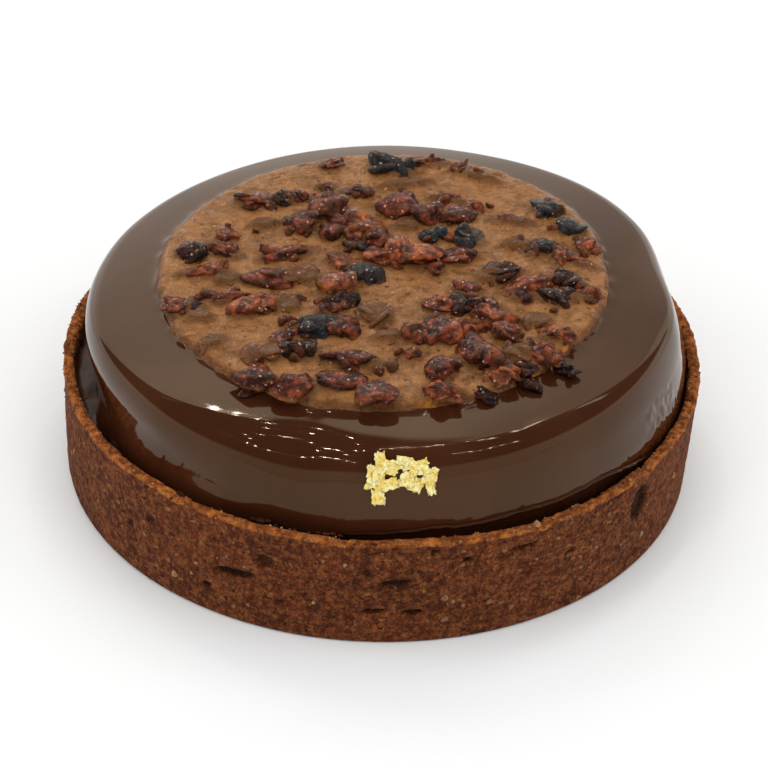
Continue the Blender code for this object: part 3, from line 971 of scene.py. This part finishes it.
chance = random.Random(44)
nib_spots = []
nib_meshes = {}
for kind, rows in NIBS.items():
    bm = bmesh.new()
    film = bm.verts.layers.float.new("film")
    bm.verts.layers.float.new("crease")
    for x, y, length, width, tall, turn_by in rows:
        tall = tall * NIB_TALL
        half_tall = max(tall * 0.70, 0.60) * NIB_MM
        middle = nib_middle(x, y, tall, half_tall)
        if kind == "side":
            middle.z = mousse_level(middle.x, middle.y) + 0.0004
        yaw = math.radians(turn_by)
        size = (length * NIB_LENGTH * NIB_MM, width * NIB_WIDTH * NIB_MM, half_tall * 1.2)
        turn = Euler((chance.uniform(-0.25, 0.25), chance.uniform(-0.2, 0.2), yaw))
        base = middle.z + half_tall - tall * NIB_MM
        coat = chance.uniform(0.0, 0.30)
        spread_film(shard(bm, middle, size, turn, chance), film, base, coat, kind)
        # Smaller lobes on each nib, so that it has creases and an uneven top.
        for _ in range(3 if length > 2.6 else 2):
            along = chance.uniform(-0.5, 0.5) * size[0]
            across = chance.uniform(-0.5, 0.5) * size[1]
            share = chance.uniform(0.45, 0.70)
            spot = middle + Vector((
                along * math.cos(yaw) - across * math.sin(yaw),
                along * math.sin(yaw) + across * math.cos(yaw),
                half_tall * chance.uniform(-0.20, 0.30),
            ))
            lobe = (size[0] * share, size[1] * min(share * 1.4, 0.8), size[2] * chance.uniform(0.5, 0.8))
            lean = Euler((chance.uniform(-0.7, 0.7), chance.uniform(-0.7, 0.7), yaw + chance.uniform(-0.9, 0.9)))
            spread_film(shard(bm, spot, lobe, lean, chance, 2, 6), film, base, coat, kind)
        nib_spots.append((middle, length * NIB_MM / 2, width * NIB_MM / 2, yaw, kind))
    nib_meshes[kind] = bm

# Small broken bits between the nibs, thickest where the nibs lie in heaps.
BIT_COUNT = 150
bits = bmesh.new()
film = bits.verts.layers.float.new("film")
bits.verts.layers.float.new("crease")
for _ in range(BIT_COUNT):
    near = chance.choice(nib_spots)[0]
    x = near.x + chance.gauss(0, 0.0011)
    y = near.y + chance.gauss(0, 0.0011)
    if math.hypot(x - TOP_X, y - TOP_Y) < TOP_RADIUS - 0.0010:
        size = chance.uniform(0.00030, 0.00090)
        level = mousse_level(x, y) + TOP_THICKNESS + size * 0.15 + 0.00015
        lean = Euler((chance.uniform(-1, 1), chance.uniform(-1, 1), chance.uniform(-3, 3)))
        verts = shard(bits, Vector((x, y, level)), (size * 1.5, size, size * 0.8), lean, chance, 2, 5)
        for vert in verts:
            vert[film] = 0.25
nib_meshes["bits"] = bits

# Dark tone, light tone, painted sheen tone and roughness of each kind of nib. The slate kind's blue grey
# is painted sheen, and the side chips' very dark tones are painted shade.
FILM = (0.190, 0.074, 0.022)
PAINTED_GLINT = (0.620, 0.400, 0.290)
NIB_TONES = {
    "red": ((0.036, 0.007, 0.0035), (0.270, 0.052, 0.020), (0.400, 0.135, 0.065), 0.24),
    "orange": ((0.075, 0.012, 0.005), (0.430, 0.100, 0.026), (0.540, 0.210, 0.080), 0.24),
    "dark": ((0.004, 0.002, 0.002), (0.055, 0.010, 0.006), (0.130, 0.042, 0.028), 0.20),
    "slate": ((0.008, 0.009, 0.011), (0.026, 0.029, 0.034), (0.090, 0.095, 0.100), 0.28),
    "sunk": ((0.085, 0.024, 0.010), (0.190, 0.062, 0.022), (0.260, 0.110, 0.045), 0.30),
    "side": ((0.012, 0.003, 0.002), (0.060, 0.012, 0.006), (0.160, 0.048, 0.016), 0.22),
    "bits": ((0.045, 0.009, 0.004), (0.230, 0.050, 0.018), (0.340, 0.125, 0.050), 0.26),
}
for kind, bm in nib_meshes.items():
    dark, light, painted_sheen, rough = NIB_TONES[kind]
    finish = Finish("cocoa_nib_" + kind, Coat_Roughness=0.07, Specular_IOR_Level=0.16)
    place = finish.place
    body_tone = place.cloud(0.0016, 3, 0.6).ramp(0.36, 0.64).blend(dark, light)
    veins = place.moved((6, 2, 1)).cloud(0.0005, 3, 0.65)
    # Painted sheen: lighter patches where the coat is glossy.
    body_tone = veins.ramp(0.55, 0.75, 0.0, 0.7).blend(body_tone, painted_sheen)
    body_tone = veins.ramp(0.30, 0.44, 0.85, 0.0).blend(body_tone, dark)
    # Painted shade: the creases are darkened, as if in shadow.
    body_tone = (finish.mark("crease") * 0.95).blend(body_tone, tuple(value * 0.4 for value in dark))
    body_tone = (finish.mark("film") * 0.8).blend(body_tone, FILM)
    # Painted highlights: small pale glints scattered over each nib.
    painted_nib_glints = place.warped(0.0004, 0.0006).moved((3, 7, 5)).specks(0.00075, 0.22, 0.34)
    finish.feed("Base Color", (painted_nib_glints * 0.75).blend(body_tone, PAINTED_GLINT))
    finish.feed("Roughness", veins.ramp(0.3, 0.7, rough * 0.7, rough * 1.6))
    finish.feed("Coat Weight", veins.ramp(0.54, 0.62, 0.03, 0.90))
    finish.relief(veins * 0.7 + place.moved((2, 2, 9)).cloud(0.00022, 2, 0.6) * 0.3, 0.00034, 1.0)
    nibs = piece("nibs_" + kind, bm, finish.material)

# ---- The caramel disc ----
# Soft caramel set in a ring as a thin disc and laid on the mousse. It fills in round the nibs, is full
# of small lumps and specks, and is thin, clear and amber at its edge. Its colour also holds painted
# glints and painted shade round the nibs.

TOP_CELLS = 250
EDGE_ROUND = 0.0015

# Where the edge is thin and clear: azimuth, half angle and amount.
AMBER = (
    (-119, math.radians(9), 1.6),
    (-44, math.radians(17), 1.6),
    (-8, math.radians(9), 1.0),
    (12, math.radians(6), 1.0),
    (163, math.radians(12), 1.2),
    (100, math.radians(7), 0.7),
    (-78, math.radians(5), 0.8),
)


def square_to_disc(x, y):
    """Maps a square from -1 to 1 onto a disc of radius 1 with cells of even size."""
    if abs(x) < 1e-9 and abs(y) < 1e-9:
        return 0.0, 0.0
    if abs(x) > abs(y):
        radius, azimuth = x, math.pi / 4 * y / x
    else:
        radius, azimuth = y, math.pi / 2 - math.pi / 4 * x / y
    return radius * math.cos(azimuth), radius * math.sin(azimuth)


caramel_mesh = bmesh.new()
nib_shade_mark = caramel_mesh.verts.layers.float.new("near")
edge_mark = caramel_mesh.verts.layers.float.new("edge")
amber_mark = caramel_mesh.verts.layers.float.new("amber")
bmesh.ops.create_grid(caramel_mesh, x_segments=TOP_CELLS, y_segments=TOP_CELLS, size=1.0)
border = [edge for edge in caramel_mesh.edges if edge.is_boundary]
skirt = bmesh.ops.extrude_edge_only(caramel_mesh, edges=border)["geom"]
hem = [part for part in skirt if isinstance(part, bmesh.types.BMEdge) and part.is_boundary]
underside = {vert for edge in hem for vert in edge.verts}
bmesh.ops.contextual_create(caramel_mesh, geom=hem)
surface = [vert for vert in caramel_mesh.verts if vert not in underside]
for vert in caramel_mesh.verts:
    x, y = square_to_disc(vert.co.x, vert.co.y)
    azimuth, share = math.atan2(y, x), math.hypot(x, y)
    vert[amber_mark] = min(swell(azimuth, AMBER), 1.0)
    reach = top_edge(azimuth) + 0.00012 * grain(Vector((x, y, 0)) * TOP_RADIUS, 0.0012, 2)
    x, y = x * reach + TOP_X, y * reach + TOP_Y
    if vert in underside:
        vert.co = (x, y, mousse_level(x, y) - 0.0004)
        vert[edge_mark] = 1.0
        continue
    inset = (1 - share) * reach
    drop = 1 - min(inset / EDGE_ROUND, 1.0)
    height = TOP_THICKNESS - (TOP_THICKNESS + 0.0002) * (1 - math.sqrt(max(0.0, 1 - drop * drop)))
    spot = Vector((x, y, 0))
    height += 0.00020 * grain(spot, 0.0034, 3) + 0.00010 * grain(spot, 0.0010, 3)
    lump = pitting(spot + Vector((0.3, 0.1, 0)), 0.0019, 0.5)
    height += 0.00022 * lump * smooth_step(inset / 0.0012)
    vert.co = (x, y, mousse_level(x, y) + height)
    vert[edge_mark] = smooth_step(1 - inset / 0.0012)

finder = kdtree.KDTree(len(surface))
for index, vert in enumerate(surface):
    finder.insert((vert.co.x, vert.co.y, 0), index)
finder.balance()
FILLET = 0.0011
for middle, half_length, half_width, turn_by, kind in nib_spots:
    if kind == "side":
        continue
    for _, index, _ in finder.find_range((middle.x, middle.y, 0), half_length + FILLET * 1.6):
        vert = surface[index]
        dx, dy = vert.co.x - middle.x, vert.co.y - middle.y
        along = (dx * math.cos(turn_by) + dy * math.sin(turn_by)) / half_length
        across = (dy * math.cos(turn_by) - dx * math.sin(turn_by)) / half_width
        away = (math.hypot(along, across) - 0.92) * min(half_length, half_width)
        pull = smooth_step(1 - max(away, 0.0) / FILLET)
        inwards = smooth_step((top_edge(math.atan2(vert.co.y, vert.co.x)) -
                               math.hypot(vert.co.x - TOP_X, vert.co.y - TOP_Y)) / 0.0012)
        vert.co.z += 0.00052 * pull * pull * inwards * (1.5 if kind == "sunk" else 1.0)
        # This mark drives the painted shade round each nib.
        vert[nib_shade_mark] = max(vert[nib_shade_mark], pull)
bmesh.ops.recalc_face_normals(caramel_mesh, faces=caramel_mesh.faces)

caramel_finish = Finish(
    "nib_caramel",
    Coat_Roughness=0.08,
    Specular_IOR_Level=0.14,
    Specular_Tint=(1.0, 0.82, 0.55, 1.0),
    Subsurface_Weight=0.10,
    Subsurface_Radius=(0.0012, 0.0006, 0.0002),
    Subsurface_Scale=1.0,
)
place = caramel_finish.place
swirl = place.moved((0, 0, 0), (1, 1.4, 1)).cloud(0.0055, 4, 0.55)
patch = place.moved((3, 8, 1)).cloud(0.0016, 4, 0.6)
grit = place.moved((9, 1, 5)).cloud(0.00035, 3, 0.6)
tone = swirl.ramp(0.36, 0.64).blend((0.240, 0.100, 0.033), (0.335, 0.146, 0.050))
tone = patch.ramp(0.50, 0.75).blend(tone, (0.390, 0.185, 0.072))
tone = patch.ramp(0.30, 0.47, 0.85, 0.0).blend(tone, (0.135, 0.050, 0.014))
flow = place.warped(0.004, 0.005).moved((2, 2, 7), (1, 2.2, 1)).cloud(0.0022, 3, 0.6)
tone = flow.ramp(0.52, 0.66, 0.0, 0.6).blend(tone, (0.150, 0.068, 0.020))
# Painted shade: the caramel round each nib is darkened, as if shadowed by it.
painted_nib_shade = caramel_finish.mark("near")
tone = (painted_nib_shade * 0.78).blend(tone, (0.078, 0.031, 0.011))
ragged = place.warped(0.0006, 0.0009)
seeds = ragged.moved((4, 7, 2)).specks(0.0013, 0.22, 0.34)
tone = (seeds * 0.7).blend(tone, (0.075, 0.030, 0.016))
# Painted highlights: small pale glints scattered over the caramel.
painted_caramel_glints = ragged.moved((1, 6, 3)).specks(0.0012, 0.20, 0.26)
tone = (painted_caramel_glints * 0.6).blend(tone, (0.560, 0.340, 0.190))
edge = caramel_finish.mark("edge")
amber = caramel_finish.mark("amber")
rind = (amber * place.moved((2, 3, 3)).cloud(0.0016, 3, 0.6).ramp(0.42, 0.60)).blend((0.095, 0.030, 0.010), (0.430, 0.160, 0.022))
tone = (edge.ramp(0.10, 0.75) * (amber * 0.35 + 0.6)).blend(tone, rind)
caramel_finish.feed("Base Color", tone)
caramel_finish.feed("Roughness", patch.ramp(0.3, 0.7, 0.46, 0.30))
caramel_finish.feed("Coat Weight", grit.ramp(0.56, 0.64, 0.03, 0.80))
caramel_finish.relief(patch * 0.6 + flow * 0.5 + grit * 0.35 + painted_caramel_glints * 0.4 + seeds * 0.2, 0.00080, 1.0)
caramel = piece("caramel_disc", caramel_mesh, caramel_finish.material)
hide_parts("nib_caramel")

# ---- The gold leaf ----
# A few torn flakes of edible leaf laid over the front shoulder with tweezers. They overlap, are
# crumpled, and follow the glaze where they touch it.

LEAF_AZIMUTH = math.radians(-85.6)
LEAF_START = 0.0313
# Millimetres across and down from the shoulder's start: middle, half sizes, turn in degrees, lift.
FLAKES = (
    (-3.2, 6.3, 1.0, 1.4, 8, 0.10),
    (-2.8, 8.7, 0.75, 1.0, -3, 0.05),
    (-2.6, 4.6, 0.7, 1.2, -14, 0.22),
    (-1.6, 5.1, 1.0, 0.8, 6, 0.15),
    (-1.5, 7.1, 1.0, 0.7, -16, 0.20),
    (0.2, 4.7, 1.0, 0.7, 8, 0.08),
    (0.5, 6.6, 0.9, 0.9, 22, 0.12),
    (2.0, 5.3, 1.1, 0.8, -8, 0.22),
    (1.6, 7.3, 0.8, 0.9, 30, 0.06),
    (3.2, 6.4, 0.9, 1.0, 14, 0.16),
    (3.3, 7.8, 0.5, 0.8, -12, 0.25),
)
FLAKE_CELLS = 16
LEAF_THICKNESS = 0.00003


SHOULDER_POINTS = [mousse_profile(LEAF_AZIMUTH, row) for row, (part, _) in enumerate(MOUSSE_ROWS)
                   if part in ("side", "jaw", "shoulder", "top")]
SHOULDER_POINTS.reverse()


def over_shoulder(across, down, lift):
    """A point over the disc's front: a distance round it, and one down from where the brow was laid."""
    azimuth = LEAF_AZIMUTH + across / DISC_RADIUS
    left = down
    for (inner, upper), (outer, lower) in zip(SHOULDER_POINTS, SHOULDER_POINTS[1:]):
        if outer <= LEAF_START:
            continue
        step = math.hypot(outer - inner, lower - upper)
        if left <= step:
            break
        left -= step
    share = left / step
    reach = inner + (outer - inner) * share + lift * (upper - lower) / step
    height = upper + (lower - upper) * share + lift * (outer - inner) / step
    x, y = reach * math.cos(azimuth), reach * math.sin(azimuth)
    return Vector((DISC_X + x, DISC_Y + y, height + tilt_height(x, y)))


leaf_mesh = bmesh.new()
for number, (across, down, half_width, half_height, turn_by, lift) in enumerate(FLAKES):
    made = bmesh.ops.create_grid(leaf_mesh, x_segments=FLAKE_CELLS, y_segments=FLAKE_CELLS, size=1.0)
    turn = math.radians(turn_by)
    for vert in made["verts"]:
        u, v = vert.co.x, vert.co.y
        tear = Vector((u * 2.2 + number * 7, v * 2.2, number * 3.0))
        u += 0.45 * noise.noise(tear) + 0.16 * noise.noise(tear * 4)
        v += 0.45 * noise.noise(tear + Vector((9, 4, 2))) + 0.16 * noise.noise(tear * 4 + Vector((3, 3, 3)))
        du, dv = u * half_width, v * half_height
        place_across = across + du * math.cos(turn) - dv * math.sin(turn)
        place_down = down + du * math.sin(turn) + dv * math.cos(turn)
        fold = Vector((place_across * 1.1, place_down * 1.1, number * 5.0))
        crease = abs(noise.noise(fold)) * 0.45 + abs(noise.noise(fold * 2.6)) * 0.20
        height = (0.06 + lift + crease) * NIB_MM
        vert.co = over_shoulder(place_across * NIB_MM, place_down * NIB_MM, height)
leaf_finish = Finish("gold_leaf", Metallic=0.32)
leaf_tone = leaf_finish.place.cloud(0.0009, 3, 0.6).ramp(0.35, 0.65)
leaf_finish.feed("Base Color", leaf_tone.blend((0.93, 0.70, 0.15), (1.0, 0.93, 0.48)))
leaf_finish.feed("Roughness", leaf_finish.place.cloud(0.0005, 2, 0.6).ramp(0.3, 0.7, 0.26, 0.50))
leaf_finish.relief(leaf_finish.place.moved((2, 2, 2)).cloud(0.0004, 3, 0.6), 0.00008)
leaf = piece("gold_flakes", leaf_mesh, leaf_finish.material)
thick = leaf.modifiers.new("thickness", "SOLIDIFY")
thick.thickness = LEAF_THICKNESS
thick.offset = 1.0
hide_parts("gold_leaf")

# ---- The floor, the light and the camera ----
# A plain white sweep under soft light: a bright wall behind, two strips at the sides, and rows of small
# lamps over the camera. The camera looks down at the tart through a long lens.

floor_mesh = bmesh.new()
bmesh.ops.create_grid(floor_mesh, x_segments=1, y_segments=1, size=4.0)
mesh = bpy.data.meshes.new("floor")
floor_mesh.to_mesh(mesh)
floor_mesh.free()
floor = bpy.data.objects.new("floor", mesh)
bpy.context.scene.collection.objects.link(floor)
floor_finish = Finish("white_floor", Roughness=0.9, Specular_IOR_Level=0.1)
floor_finish.shader.inputs["Base Color"].default_value = (0.86, 0.878, 0.892, 1.0)
mesh.materials.append(floor_finish.material)

world = bpy.data.worlds.new("soft_room")
bpy.context.scene.world = world
world.use_nodes = True
sky = Pin(world.node_tree)
way = sky.node("ShaderNodeTexCoord", output="Generated")
sides = sky.node("ShaderNodeSeparateXYZ", {}, {"Vector": way}, "X")
depth = sky.node("ShaderNodeSeparateXYZ", {}, {"Vector": way}, "Y")
height = sky.node("ShaderNodeSeparateXYZ", {}, {"Vector": way}, "Z")
# The wall is a wide lit patch behind, which is brighter high up and dimmer to the right of the middle.
ahead = sky.node("ShaderNodeVectorMath", {"operation": "DOT_PRODUCT"}, {0: way, 1: (0, 0.985, 0.174)}, "Value")
dimmer = sides.ramp(0.00, 0.20, 1.06, 0.60).larger(sides.ramp(0.36, 0.55, 0.0, 1.1))
wall = ahead.ramp(0.646, 0.674) * (1.18 + height.ramp(0.55, 0.76, 0.0, 0.65)) * dimmer
horizon = height.ramp(0.17, 0.29, 1.0, 0.0) * (0.88 + depth * 0.18 + sides * sides * 0.30)
glow = wall.larger(horizon) + 0.15
background = world.node_tree.nodes["Background"]
world.node_tree.links.new(glow.socket, background.inputs["Strength"])
background.inputs["Color"].default_value = (1.0, 0.945, 0.865, 1.0)

AIM = Vector((0.000725, 0.0, 0.010081))
LAMP_DISTANCE = 1.6


def towards(azimuth, elevation):
    """The direction of an azimuth from the front, to the right, and an elevation, in degrees."""
    turn, rise = math.radians(azimuth), math.radians(elevation)
    return Vector((math.sin(turn) * math.cos(rise), -math.cos(turn) * math.cos(rise), math.sin(rise)))


def add_lamp(name, azimuth, elevation, width, height, radiance, roll=0.0):
    """A soft lamp seen from the tart as width by height degrees, at a brightness."""
    light = bpy.data.lights.new(name, "AREA")
    light.shape = "ELLIPSE" if width < 10 and height < 10 else "RECTANGLE"
    light.size = 2 * LAMP_DISTANCE * math.tan(math.radians(width / 2))
    light.size_y = 2 * LAMP_DISTANCE * math.tan(math.radians(height / 2))
    light.energy = radiance * math.pi * light.size * light.size_y
    if light.shape == "ELLIPSE":
        light.energy *= math.pi / 4
    way = towards(azimuth, elevation)
    lamp = bpy.data.objects.new(name, light)
    bpy.context.scene.collection.objects.link(lamp)
    lamp.location = AIM + way * LAMP_DISTANCE
    facing = way.to_track_quat("Z", "Y").to_matrix() @ Matrix.Rotation(math.radians(roll), 3, "Z")
    lamp.rotation_euler = facing.to_euler()
    lamp.visible_camera = False
    return lamp


# Rows of small lamps: azimuth and elevation of the first and the last, and how many.
LAMP_ROWS = (
    (-49, 53, -59, 58, 2),
    (-59, 66, -57, 71, 2),
    (-85, 81, -124, 82, 2),
    (-156, 80, -184, 72, 3),
    (-187, 67, -192, 63, 2),
    (-204, 67, -216, 69, 2),
    (-211, 64, -200, 56, 4),
    (-33, 38, -44, 42, 3),
    (32, 61, 61, 51, 7),
    (-155, 53, -158, 58, 3),
    (-148, 67, -110, 74, 2),
)
LAMP_WIDTH = 0.50
LAMP_RADIANCE = 440.0
for row, (from_azimuth, from_elevation, to_azimuth, to_elevation, count) in enumerate(LAMP_ROWS):
    for number in range(count):
        along = number / (count - 1)
        azimuth = from_azimuth + (to_azimuth - from_azimuth) * along
        elevation = from_elevation + (to_elevation - from_elevation) * along
        add_lamp(f"row_{row}_{number}", azimuth, elevation, LAMP_WIDTH, LAMP_WIDTH, LAMP_RADIANCE)
add_lamp("left_streak", -126, 52, 12, 1.6, 0.9, -30)
add_lamp("right_streak", 130, 53, 16, 3.0, 3.0, 25)
add_lamp("left_line", -50, 42, 22, 0.8, 0.8, -20)
ceiling = add_lamp("ceiling", 0, 66, 86, 76, 1.00)
ceiling.visible_glossy = False
for name, azimuth in (("left_fill", -84), ("right_fill", 84)):
    fill = add_lamp(name, azimuth, 22, 44, 30, 2.0)
    fill.visible_glossy = False

EYE = math.radians(35.241)
ROLL = math.radians(1.625)
EYE_DISTANCE = 0.450
LENS = 166.45
camera_data = bpy.data.cameras.new("camera")
camera_data.lens = LENS
camera_data.clip_start = 0.01
camera_data.clip_end = 20.0
camera = bpy.data.objects.new("camera", camera_data)
bpy.context.scene.collection.objects.link(camera)
back = Vector((0, -math.cos(EYE), math.sin(EYE)))
level = Vector((1, 0, 0))
upright = Vector((0, math.sin(EYE), math.cos(EYE)))
right = level * math.cos(ROLL) + upright * math.sin(ROLL)
above = upright * math.cos(ROLL) - level * math.sin(ROLL)
camera.matrix_world = Matrix.Translation(AIM + back * EYE_DISTANCE) @ Matrix((right, above, back)).transposed().to_4x4()
bpy.context.scene.camera = camera
bpy.context.scene.view_settings.view_transform = "Standard"

bpy.context.view_layer.update()
